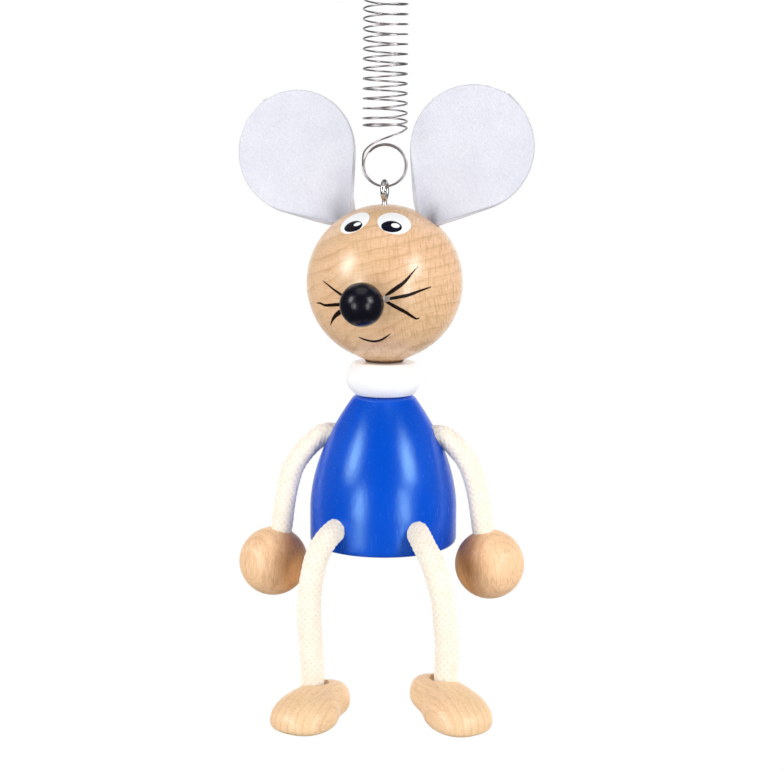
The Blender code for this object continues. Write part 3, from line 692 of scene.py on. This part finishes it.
def tube_bm(points, radius_at, sides, crevice_at=None):
    """A closed tube in metres, with the lengths round it and along it in millimetres as its UVs.

    radius_at(along, around) gives its radius in millimetres, from the length along it and the share
    of a turn round it. crevice_at says in the same way how far a place lies down between strands.
    """
    bm = bmesh.new()
    uv = bm.loops.layers.uv.new("along")
    crevice = bm.verts.layers.float.new("crevice")
    along = 0.0
    rings, lengths = [], []
    for index, (point, (side, other)) in enumerate(zip(points, frames_along(points))):
        if index:
            along += (point - points[index - 1]).length / MM
        ring = []
        for step in range(sides):
            around = step / sides
            outward = side * cos(tau * around) + other * sin(tau * around)
            vert = bm.verts.new(point + outward * radius_at(along, around) * MM)
            if crevice_at:
                vert[crevice] = crevice_at(along, around)
            ring.append(vert)
        rings.append(ring)
        lengths.append(along)
    girth = tau * radius_at(along / 2, 0.0)
    for index in range(len(rings) - 1):
        for step in range(sides):
            after = (step + 1) % sides
            face = bm.faces.new((rings[index][step], rings[index][after], rings[index + 1][after],
                                 rings[index + 1][step]))
            corners = ((step, index), (step + 1, index), (step + 1, index + 1), (step, index + 1))
            for loop, (column, row) in zip(face.loops, corners):
                loop[uv].uv = (girth * column / sides, lengths[row])
    bm.faces.new(reversed(rings[0]))
    bm.faces.new(rings[-1])
    return bm


def wire(name, points, sides=14):
    return link_mesh(name, tube_bm(points, lambda along, around: WIRE_RADIUS, sides), steel, sharp=70.0)


def stand_for(piece, node, body="figure"):
    """Shows a piece in place of a node of the frame, and lets it ride the body."""
    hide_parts(node)
    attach(piece, body)


# ---- the spring and the screw eye


def coil_height(turns):
    closed = min(turns, CLOSED_TURNS)
    return COIL_BOTTOM + CLOSED_PITCH * closed + COIL_PITCH * (turns - closed)


def coil_tilt(height):
    """The lowest turns lean forward under the load that hangs at their end."""
    share = max(0.0, 1.0 - (height - COIL_BOTTOM) / COIL_TILT_REACH)
    return tan(COIL_END_TILT) * share**1.5


def make_coil():
    per_turn = 44
    steps = int(COIL_TURNS * per_turn)
    points = []
    for step in range(steps + 1):
        turns = COIL_TURNS * step / steps
        angle = tau * turns
        height = coil_height(turns)
        y = COIL_RADIUS * sin(angle)
        points.append(Vector((COIL_RADIUS * cos(angle), y, height + y * coil_tilt(height))) * MM)
    coil = wire("spring_wire_coil", points, 12)
    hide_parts("spring_coil")
    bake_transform(coil)


def loop_turns(centre_height, start_angle):
    """The double turn of an end loop: its second turn lies just inside and behind the first."""
    points = []
    per_turn = 72
    for step in range(1, int(LOOP_TURNS * per_turn) + 1):
        turns = step / per_turn
        angle = start_angle + tau * turns
        inner = LOOP_INNER * max(0.0, min(1.0, (turns - 0.55) / 0.6))
        inner *= 1.0 - 0.8 * max(0.0, -sin(angle)) ** 2
        points.append(Vector((
            (LOOP_RADIUS + LOOP_WIDEN - inner) * cos(angle),
            LOOP_START + LOOP_WIRE_PITCH * turns,
            centre_height + (LOOP_RADIUS - inner) * sin(angle),
        )) * MM)
    return points


def make_end_loop(name, node, body, neck, coil_end, centre_height, start_angle):
    """The wire of one end: a neck through places measured from the coil's end, and the loop after it."""
    route = smooth_route([Vector((x, y, z + coil_end)) * MM for x, y, z in neck], 0.35 * MM)
    loop = wire(name, route + loop_turns(centre_height, start_angle))
    stand_for(loop, node, body)


def make_loops():
    reach = LOOP_RADIUS + LOOP_WIDEN
    upper_neck = [(0.0, -COIL_RADIUS, 0.0), (2.6, -4.1, 1.2), (4.5, -2.3, 3.2), (5.1, -0.7, 5.6),
                  (reach, LOOP_START, NECK_HEIGHT)]
    lower_neck = [(COIL_RADIUS, 0.0, 0.0), (3.9, -3.05, -0.95), (1.4, -4.4, -1.95), (-2.3, -3.9, -3.45),
                  (-4.55, -1.9, -5.4), (-reach, LOOP_START, -NECK_HEIGHT)]
    make_end_loop("spring_wire_top", "spring_top_loop", "hanger", upper_neck, COIL_TOP, TOP_LOOP_CENTRE, 0.0)
    make_end_loop("spring_wire_bottom", "spring_bottom_loop", "spring_end", lower_neck, COIL_BOTTOM,
                  BOTTOM_LOOP_CENTRE, pi)


def make_screw_eye():
    """The shank rises out of the crown and bends into a ring whose end stops just short of it."""
    turn = Matrix.Rotation(HEAD_TURN, 3, "Z")
    ring_start = -pi / 2 - EYE_BEND
    ring_sweep = tau - EYE_BEND - EYE_OPENING
    shank_end = EYE_FOOT - EYE_SHANK
    shank = [Vector((0.0, 0.0, shank_end)), Vector((0.0, 0.0, EYE_CENTRE - EYE_RING_RADIUS - 1.0))]
    ring = []
    per_turn = 72
    for step in range(per_turn + 1):
        angle = ring_start - ring_sweep * step / per_turn
        ring.append(turn @ Vector((0.0, EYE_RING_RADIUS * cos(angle),
                                   EYE_CENTRE + EYE_RING_RADIUS * sin(angle))))
    bend = smooth_route([point * MM for point in shank + ring[:3]], 0.15 * MM)
    points = bend[:-1] + [point * MM for point in ring[2:]]
    eye = link_mesh("screw_eye_wire", tube_bm(points, lambda along, around: EYE_WIRE_RADIUS, 24), plate)
    stand_for(eye, "screw_eye")


# ---- head, ears and face


def ear_frame(name):
    """Where an ear's base sits on the head, and the rotation that stands its outline up.

    In the ear's own frame X runs across it, Y up it and Z to the front.
    """
    side = side_of(name)
    across = side * HEAD_RADIUS * sin(EAR_SEAT_ANGLE)
    base = Vector((across, EAR_SET_BACK, HEAD_RADIUS * cos(EAR_SEAT_ANGLE)))
    base *= HEAD_RADIUS / base.length
    turn = Matrix.Rotation(HEAD_TURN, 3, "Z")
    upright = Matrix.Rotation(pi / 2, 3, "X")
    lean = Matrix.Rotation(side * EAR_LEAN[name], 3, "Y")
    return HEAD + turn @ base * MM, turn @ lean @ upright


def ear_half_width(height):
    """Half the width of the ear's outline: a disc on two straight tangents to its narrow base."""
    half = EAR_BASE_WIDTH / 2
    reach = hypot(half, EAR_RISE)
    slope = asin(EAR_RADIUS / reach) - atan2(half, EAR_RISE)
    touch = EAR_RISE - EAR_RADIUS * sin(slope)
    if height <= 0.0:
        return half
    if height < touch:
        return half + height * tan(slope)
    return sqrt(max(EAR_RADIUS**2 - (height - EAR_RISE) ** 2, 0.0))


def make_ear(name):
    """A felt disc whose stem is rolled into a gutter, open to the front, and pushed into the head."""
    rows, columns = 72, 40
    seed = 7.0 * side_of(name)
    top = EAR_RISE + EAR_RADIUS
    bm = bmesh.new()
    edge_shade = bm.verts.layers.float.new("edge_shade")
    fold_shade = bm.verts.layers.float.new("fold_shade")
    grid = []
    for row in range(rows + 1):
        share = row / rows
        height = -EAR_ROOT_DEPTH + (top + EAR_ROOT_DEPTH) * sin(pi / 2 * share) ** 1.15
        width = max(ear_half_width(height), 0.35)
        rise = max(height, 0.0)
        roll = radians(EAR_ROLL + EAR_STEM_ROLL * exp(-((rise / EAR_ROLL_REACH) ** 1.35)))
        radius = width / sin(min(roll, pi / 2))
        back = -1.25 * exp(-((rise / 9.0) ** 2)) + 0.9 * sin(pi * min(rise / top, 1.0))
        line = []
        for column in range(columns + 1):
            across = sin(pi / 2 * (2.0 * column / columns - 1.0))
            angle = roll * across
            flutter = 0.10 * noise.noise(Vector((seed + angle * 2.0, height * 0.09, 3.0)))
            vert = bm.verts.new(Vector((
                radius * sin(angle),
                height,
                back + radius * (1.0 - cos(angle)) + flutter * min(rise / 4.0, 1.0),
            )) * MM)
            below_arc = EAR_RADIUS - hypot(width * across, max(rise - EAR_RISE, 0.0))
            inside = min(width * (1.0 - abs(across)), below_arc)
            # Painted shade masks: nearness to the cut rim, and to the crease at the stem.
            vert[edge_shade] = max(0.0, 1.0 - inside / EAR_EDGE_SHADE_WIDTH)
            vert[fold_shade] = exp(-((rise / EAR_FOLD_SHADE_REACH) ** 2)) * (1.0 - 0.6 * abs(across))
            line.append(vert)
        grid.append(line)
    skin(bm, grid)
    place, rotation = ear_frame(name)
    ear = link_mesh(name + "_felt", bm, ear_felt, place, rotation)
    thick = ear.modifiers.new("thickness", "SOLIDIFY")
    thick.thickness = EAR_THICKNESS * MM
    thick.offset = 0.0
    rounded = ear.modifiers.new("edge", "BEVEL")
    rounded.width = 0.22 * MM
    rounded.segments = 3
    rounded.limit_method = "ANGLE"
    rounded.angle_limit = radians(50)
    bpy.context.view_layer.update()
    finish_cuts(ear, 60.0)
    stand_for(ear, name)


def make_head():
    head = link_mesh("beech_head", ball_bm(HEAD_RADIUS, 160, 96), head_wood, HEAD)
    crown = Vector((0.0, 0.0, EYE_FOOT - EYE_ABOVE_CROWN)) * MM
    bore(head, EYE_WIRE_RADIUS + 0.15, crown, (0, 0, -1), HEAD_BORE_DEPTH)
    bore(head, DOWEL_BORE_RADIUS, from_head(0.0, 0.0, -HEAD_RADIUS), (0, 0, 1), HEAD_BORE_DEPTH)
    flat = Matrix.Rotation(pi / 2, 3, "X")
    for name in ("left_ear", "right_ear"):
        place, rotation = ear_frame(name)
        hole = rod_bm(1.0, EAR_SOCKET_DEPTH)
        bmesh.ops.scale(hole, vec=EAR_SOCKET_STRETCH, verts=hole.verts)
        forward = rotation @ Vector((0.0, 0.0, EAR_SOCKET_FORWARD)) * MM
        cut_away(head, hole, place + forward, rotation @ flat)
    stand_for(head, "head")


def on_head(direction, height):
    """A place that far above the head's surface, in metres from its centre."""
    return direction.normalized() * (HEAD_RADIUS + height) * MM


def lay_paint(name, bm, direction, material):
    """Turns a patch of paint's faces away from the head, and lets it ride with the head."""
    bmesh.ops.recalc_face_normals(bm, faces=bm.faces)
    total = Vector((0.0, 0.0, 0.0))
    for face in bm.faces:
        total += face.normal * face.calc_area()
    if total.dot(direction) < 0.0:
        bmesh.ops.reverse_faces(bm, faces=bm.faces)
    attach(link_mesh(name, bm, material, HEAD), "figure")


def painted_spot(name, centre, half_sizes, tilt, height, material):
    """An oval of paint that thins out to nothing at its rim. Centre and half sizes are in degrees."""
    middle = face_direction(*centre)
    right = Vector((0, 0, 1)).cross(middle).normalized()
    above = middle.cross(right)
    rings, segments = 10, 64
    bm = bmesh.new()
    hub = bm.verts.new(on_head(middle, height))
    lines = []
    for ring in range(1, rings + 1):
        share = ring / rings
        lift = height * (1.0 - share**8) - PAINT_RIM_DROP * (ring == rings)
        line = []
        for step in range(segments):
            angle = tau * step / segments
            x = radians(half_sizes[0]) * share * cos(angle)
            y = radians(half_sizes[1]) * share * sin(angle)
            across = x * cos(tilt) - y * sin(tilt)
            along = x * sin(tilt) + y * cos(tilt)
            direction = middle + right * tan(across) + above * tan(along)
            line.append(bm.verts.new(on_head(direction, lift)))
        lines.append(line)
    for here, there in zip(lines[0], lines[0][1:] + lines[0][:1]):
        bm.faces.new((hub, here, there))
    skin(bm, lines, closed=True)
    lay_paint(name, bm, middle, material)


def painted_line(name, stroke, material):
    """A brush stroke through (longitude, latitude, width) points, in degrees and millimetres."""
    route = smooth_route(stroke, 0.35)
    directions = [face_direction(point.x, point.y) for point in route]
    bm = bmesh.new()
    rows = []
    profile = (-1.0, -0.8, -0.4, 0.0, 0.4, 0.8, 1.0)
    for index, (point, direction) in enumerate(zip(route, directions)):
        before = directions[max(index - 1, 0)]
        after = directions[min(index + 1, len(directions) - 1)]
        side = direction.cross(after - before).normalized()
        half = max(point.z * STROKE_WIDEN, 0.03) / 2
        row = []
        for across in profile:
            lift = PAINT_HEIGHT * (1.0 - across**4) - PAINT_RIM_DROP * (abs(across) == 1.0)
            row.append(bm.verts.new(on_head(direction + side * across * half / HEAD_RADIUS, lift)))
        rows.append(row)
    skin(bm, rows)
    lay_paint(name, bm, directions[len(directions) // 2], material)


# Longitude, latitude and width along each brush stroke of the face.
STROKES = {
    "left_whisker_upper": [(13.5, -5.0, 0.35), (19.0, -1.2, 0.75), (26.5, 4.2, 0.62), (33.0, 10.8, 0.28),
                           (38.1, 15.6, 0.06)],
    "left_whisker_middle": [(14.5, -7.4, 0.45), (21.0, -6.4, 0.62), (30.0, -4.6, 0.60), (39.5, -1.6, 0.42),
                            (47.6, 0.6, 0.22)],
    "left_whisker_lower": [(13.8, -9.0, 0.5), (20.0, -12.6, 0.66), (28.0, -16.8, 0.62), (35.5, -21.3, 0.45),
                           (38.5, -22.6, 0.34), (40.6, -21.8, 0.22)],
    "right_whisker_upper": [(-15.5, -7.6, 0.62), (-21.0, -4.4, 0.5), (-26.5, -1.6, 0.38), (-32.0, 1.4, 0.3),
                            (-37.1, 3.6, 0.12)],
    "right_whisker_middle": [(-15.0, -12.5, 0.62), (-23.0, -12.6, 0.66), (-30.0, -13.4, 0.6),
                             (-37.0, -13.9, 0.5), (-43.0, -12.9, 0.42), (-48.2, -13.2, 0.14)],
    "right_whisker_lower": [(-16.5, -15.0, 0.7), (-22.9, -18.4, 0.85), (-28.5, -21.8, 0.7),
                            (-33.5, -25.8, 0.42), (-38.1, -30.0, 0.1)],
    "mouth_line": [(-11.2, -38.8, 0.22), (-6.5, -40.9, 0.48), (-1.5, -42.3, 0.56), (4.0, -42.6, 0.6),
                   (9.5, -41.2, 0.52), (14.5, -38.0, 0.4), (18.3, -34.7, 0.12)],
}


def make_face():
    white = paint("eye_white_paint", (0.97, 0.97, 0.98), roughness=0.4)
    black = paint("pupil_paint", (0.002, 0.002, 0.012), roughness=0.35, gloss=0.08)
    rubbed = paint("rubbed_pupil_paint", (0.003, 0.002, 0.010), (0.07, 0.045, 0.03), 0.35, 0.35, 0.08)
    brown = paint("whisker_paint", (0.010, 0.004, 0.003), (0.04, 0.02, 0.012), 0.4, 0.35, 0.10)
    glue_and_shadow = paint("dried_glue", (0.42, 0.34, 0.30), (0.92, 0.90, 0.90), 0.9, 0.25)
    painted_spot("left_eye_white", (24.0, 52.5), (12.8, 12.8), 0.0, PAINT_HEIGHT, white)
    painted_spot("right_eye_white", (-25.6, 52.2), (11.6, 12.8), 0.0, PAINT_HEIGHT, white)
    painted_spot("left_pupil", (20.0, 47.9), (8.2, 6.4), -0.08, PUPIL_HEIGHT, black)
    painted_spot("right_pupil", (-22.9, 47.4), (8.0, 6.3), 0.1, PUPIL_HEIGHT, rubbed)
    painted_spot("left_glint", (24.0, 48.5), (3.5, 2.7), -0.25, GLINT_HEIGHT, white)
    painted_spot("right_glint", (-18.9, 49.3), (3.2, 2.2), 0.35, GLINT_HEIGHT, white)
    for name, stroke in STROKES.items():
        painted_line(name, stroke, brown)
    painted_spot("nose_glue", (14.2, -7.4), (3.0, 2.4), 0.5, 0.07, glue_and_shadow)


def make_nose():
    centre = HEAD + NOSE_DIRECTION * NOSE_DISTANCE * MM
    nose = link_mesh("nose_ball", ball_bm(NOSE_RADIUS, 96, 56), black_gloss, centre)
    cut_away(nose, ball_bm(HEAD_RADIUS + 0.02, 96, 64), HEAD)
    stand_for(nose, "nose")


# ---- collar and torso


def make_neck_seat():
    """The head's wood swells a little where it sits on the collar, over a thin dark ring that paints the
    shadow in the gap.
    """
    rim, throat, swell = 6.6, 3.6, 0.42
    profile = [(throat - 0.5, -HEAD_RADIUS + 0.8)]
    steps = 10
    for step in range(steps + 1):
        share = step / steps
        radius = rim + (throat - rim) * share
        profile.append((radius, -sqrt(HEAD_RADIUS**2 - radius**2) - 0.01 - swell * share))
    seat = link_mesh("neck_seat", turned_bm(profile, 96), head_wood, HEAD)
    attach(seat, "figure")
    # Painted shadow: a thin dark-brown ring in the gap under the head, where shade falls between head and
    # collar.
    bead = [(3.2, -17.9), (4.6, -17.88), (4.4, -18.12), (4.1, COLLAR_TOP + 0.02), (3.2, COLLAR_TOP + 0.01)]
    glue_and_shadow = link_mesh("neck_shadow_ring", turned_bm(bead, 96), paint("neck_shadow_ring", (0.16, 0.075, 0.035)), HEAD)
    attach(glue_and_shadow, "figure")


def make_collar():
    """A bead with flat ends and eased rims."""
    profile = []
    segments = 40
    for step in range(segments + 1):
        height = COLLAR_TOP + (COLLAR_BOTTOM - COLLAR_TOP) * step / segments
        share = (height - COLLAR_WAIST) / COLLAR_HEIGHT_RADIUS
        radius = COLLAR_RADIUS * sqrt(1.0 - share**2)
        rim = max(0.0, 1.0 - min(height - COLLAR_BOTTOM, COLLAR_TOP - height) / COLLAR_EDGE)
        profile.append((radius - COLLAR_EDGE * rim**2, height))
    profile = [(3.2, COLLAR_TOP), (profile[0][0] - 0.2, COLLAR_TOP), *profile, (3.2, COLLAR_BOTTOM)]
    collar = link_mesh("white_collar", turned_bm(profile), white_gloss, HEAD)
    stand_for(collar, "collar")


def torso_radius(height):
    share = min((TORSO_TOP - height) / (TORSO_TOP - TORSO_SHOULDER_END), 1.0)
    return TORSO_TOP_RADIUS + (TORSO_RADIUS - TORSO_TOP_RADIUS) * (1.0 - (1.0 - share) ** TORSO_CURVE_POWER)


def limb_inward(limb):
    """The direction in which a limb's cord runs into its bore in the torso."""
    side = side_of(limb)
    if limb.endswith("arm"):
        return Vector((-side, 0.0, 0.0))
    return Vector((-side * sin(HIP_BORE_SPLAY), cos(HIP_BORE_SPLAY), 0.0))


def cord_radius(limb):
    return ARM_CORD_RADIUS if limb.endswith("arm") else LEG_CORD_RADIUS


def make_torso():
    """A bell: a curved shoulder, a short straight side, and a rounded edge round its flat underside."""
    profile = [(0.01, TORSO_TOP), (TORSO_TOP_RADIUS - 0.25, TORSO_TOP)]
    shoulder_steps, side_steps, edge_steps = 60, 6, 10
    for step in range(1, shoulder_steps + 1):
        height = TORSO_TOP + (TORSO_SHOULDER_END - TORSO_TOP) * step / shoulder_steps
        profile.append((torso_radius(height), height))
    for step in range(1, side_steps + 1):
        drop = (TORSO_SHOULDER_END - TORSO_BOTTOM - TORSO_EDGE_ROUND) * step / side_steps
        profile.append((TORSO_RADIUS, TORSO_SHOULDER_END - drop))
    for step in range(1, edge_steps + 1):
        angle = pi / 2 * step / edge_steps
        profile.append((TORSO_RADIUS - TORSO_EDGE_ROUND * (1.0 - cos(angle)),
                        TORSO_BOTTOM + TORSO_EDGE_ROUND * (1.0 - sin(angle))))
    profile.append((0.01, TORSO_BOTTOM))
    torso = link_mesh("blue_torso", turned_bm(profile, 192), blue_gloss, HEAD)
    for limb, route in LIMB_ROUTES.items():
        bore(torso, cord_radius(limb) + BORE_PLAY, from_head(*route[0]), limb_inward(limb), BORE_DEPTH, 9.0)
    stand_for(torso, "torso")


# ---- limbs

BRAID_STRANDS = 10
BRAID_PITCH = 15.0
BRAID_GROOVE = 0.26
BRAID_LIFT = 0.12


def strand_crown(place):
    """The rounded top of a strand, from 0 at its sides to 1 along its middle."""
    across = 2.0 * (place - floor(place)) - 1.0
    return sqrt(max(0.0, 1.0 - 0.92 * across * across))


def braid_relief(along, around):
    """The height in millimetres of a tubular braid: two families of strands, over one and under one."""
    first = BRAID_STRANDS * (around + along / BRAID_PITCH)
    second = BRAID_STRANDS * (around - along / BRAID_PITCH)
    first_lift = (-1) ** (floor(first) % 2) * cos(pi * (second - 0.5))
    second_lift = -((-1) ** (floor(second) % 2)) * cos(pi * (first - 0.5))
    return max(BRAID_GROOVE * strand_crown(first) + BRAID_LIFT * first_lift,
               BRAID_GROOVE * strand_crown(second) + BRAID_LIFT * second_lift) - BRAID_GROOVE


def braid_crevice(along, around):
    """How far a place lies down between two strands, from 0 on them to 1."""
    return max(0.0, min(1.0, -3.0 * braid_relief(along, around) / BRAID_GROOVE - 0.1))


def make_cord(limb):
    """A braided cord from deep in its bore in the torso to deep in its bore in the hand or foot."""
    route = [from_head(*point) for point in LIMB_ROUTES[limb]]
    inner = [route[0] + limb_inward(limb) * share * BORE_DEPTH * MM for share in (1.0, 0.45)]
    points = smooth_route(inner + route, 0.20 * MM)
    radius = cord_radius(limb)
    seed = 11.0 * side_of(limb) + (3.0 if limb.endswith("arm") else 0.0)

    def radius_at(along, around):
        turn = tau * around
        place = Vector((seed + cos(turn) * radius, sin(turn) * radius, along))
        fluff = 0.05 * noise.noise(place * 0.8) + 0.06 * noise.noise(place * 2.6)
        return radius + 0.06 + braid_relief(along, around) + fluff

    cord = link_mesh(limb + "_braid", tube_bm(points, radius_at, 72, braid_crevice), yarn, sharp=180.0)
    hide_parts(limb + "_cord")
    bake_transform(cord)


def make_hand(name, limb):
    centre = from_head(*HAND_CENTRES[name])
    side = side_of(name)
    # The wood gets painted shade on the side of the ball that faces the torso.
    grain = beech(name + "_beech", (0.0, pi / 2 + side * 0.12, 0.0), (0.0, -14.0, side * -9.0),
                  (0.12, 1.0, 1.0), 2.1, light=(0.97, 0.665, 0.385), ring_share=0.4, fibre_share=0.3,
                  torso_side_shade=(-side, 0.2, 4.4), coat=0.25, coat_roughness=0.42, depth=0.4)
    hand = link_mesh(name + "_ball", ball_bm(HAND_RADIUS, 112, 64), grain, centre)
    end, before = from_head(*LIMB_ROUTES[limb][-1]), from_head(*LIMB_ROUTES[limb][-2])
    direction = (end - before).normalized()
    mouth = end - direction * CORD_IN_HAND * MM
    bore(hand, ARM_CORD_RADIUS + BORE_PLAY, mouth, direction, CORD_IN_HAND + BORE_SPARE)
    stand_for(hand, name, limb)


def foot_bm(inner_side):
    """A clog with its toe along +X: low crowned on top, nearly flat below, waisted on its inner side."""
    bm = bmesh.new()
    bmesh.ops.create_uvsphere(bm, u_segments=112, v_segments=72, radius=1.0)
    for vert in bm.verts:
        along = max(-1.0, min(1.0, vert.co.z))
        around = atan2(vert.co.y, vert.co.x)
        swell = (1.0 - abs(along) ** FOOT_ROUNDNESS) ** (1.0 / FOOT_ROUNDNESS)
        across = copysign(abs(cos(around)) ** (2.0 / FOOT_ROUNDNESS), cos(around))
        upward = copysign(abs(sin(around)) ** (2.0 / FOOT_ROUNDNESS), sin(around))
        width = FOOT_WIDTH / 2 * swell * (1.0 + FOOT_TOE_FLARE * along)
        if across * inner_side > 0.0:
            width *= 1.0 - FOOT_WAIST * exp(-(((along - FOOT_WAIST_PLACE) / FOOT_WAIST_REACH) ** 2))
        share = 1.0 - FOOT_SOLE_SHARE if upward > 0.0 else FOOT_SOLE_SHARE
        vert.co = Vector((FOOT_LENGTH / 2 * along, width * across, FOOT_HEIGHT * share * swell * upward)) * MM
    bmesh.ops.remove_doubles(bm, verts=bm.verts, dist=0.001 * MM)
    bmesh.ops.recalc_face_normals(bm, faces=bm.faces)
    return bm


def make_foot(name, limb):
    centre, turn, tilt = FEET[name]
    rotation = Matrix.Rotation(-pi / 2 + turn, 3, "Z") @ Matrix.Rotation(tilt, 3, "Y")
    inner_side = -side_of(name)
    grain = beech(name + "_beech", (0.0, 0.0, pi / 2 - turn), (0.0, -30.0, 0.0), (0.05, 1.0, 0.2), 1.5,
                  light=(0.95, 0.68, 0.40), ring_share=0.34, fibre_share=0.26, coat=0.35, coat_roughness=0.34)
    foot = link_mesh(name + "_clog", foot_bm(inner_side), grain, from_head(*centre), rotation)
    end = from_head(*LIMB_ROUTES[limb][-1])
    mouth = end + Vector((FOOT_BORE_INWARD * inner_side, FOOT_BORE_BACK, CORD_IN_FOOT)) * MM
    bore(foot, LEG_CORD_RADIUS + FOOT_BORE_PLAY, mouth, (0, 0, -1), CORD_IN_FOOT + BORE_SPARE)
    stand_for(foot, name, limb)


# ---- the whole

add_camera()

yarn = cotton()
steel = wire_steel()
plate = plated_steel()
ear_felt = felt()
head_wood = beech("head_beech", (0.0, 0.12, 0.0), (22.0, -10.0, -30.0), (0.62, 0.5, 1.0), 2.3, ring_share=0.7,
                  ray_share=1.0, fibre_share=0.26, coat=0.75, coat_roughness=0.24, depth=0.2)
dowel_wood = beech("dowel_beech", (0.0, 0.0, 0.0), (4.0, 6.0, 0.0), (1.0, 1.0, 0.05), 1.6)
blue_gloss = lacquer("torso_blue", (0.0, 0.071, 0.58), 0.24, 0.00005, gloss=0.68, shine=(0.5, 0.94, 1.0))
white_gloss = lacquer("collar_white", (0.93, 0.93, 0.94), 0.22, 0.000008, tint=0.02)
black_gloss = lacquer("nose_black", (0.005, 0.005, 0.010), 0.22, 0.00005, gloss=0.3)

for limb_name in ("left_arm", "right_arm", "left_leg", "right_leg"):
    make_cord(limb_name)
make_coil()
make_loops()
make_screw_eye()
make_head()
make_ear("left_ear")
make_ear("right_ear")
make_nose()
make_face()
make_neck_seat()
make_collar()
make_torso()
for side_name in ("left", "right"):
    make_hand(side_name + "_hand", side_name + "_arm")
    make_foot(side_name + "_foot", side_name + "_leg")
for hidden in ("neck_dowel", "nose_peg"):
    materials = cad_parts[hidden].data.materials
    materials.clear()
    materials.append(dowel_wood)
add_studio()
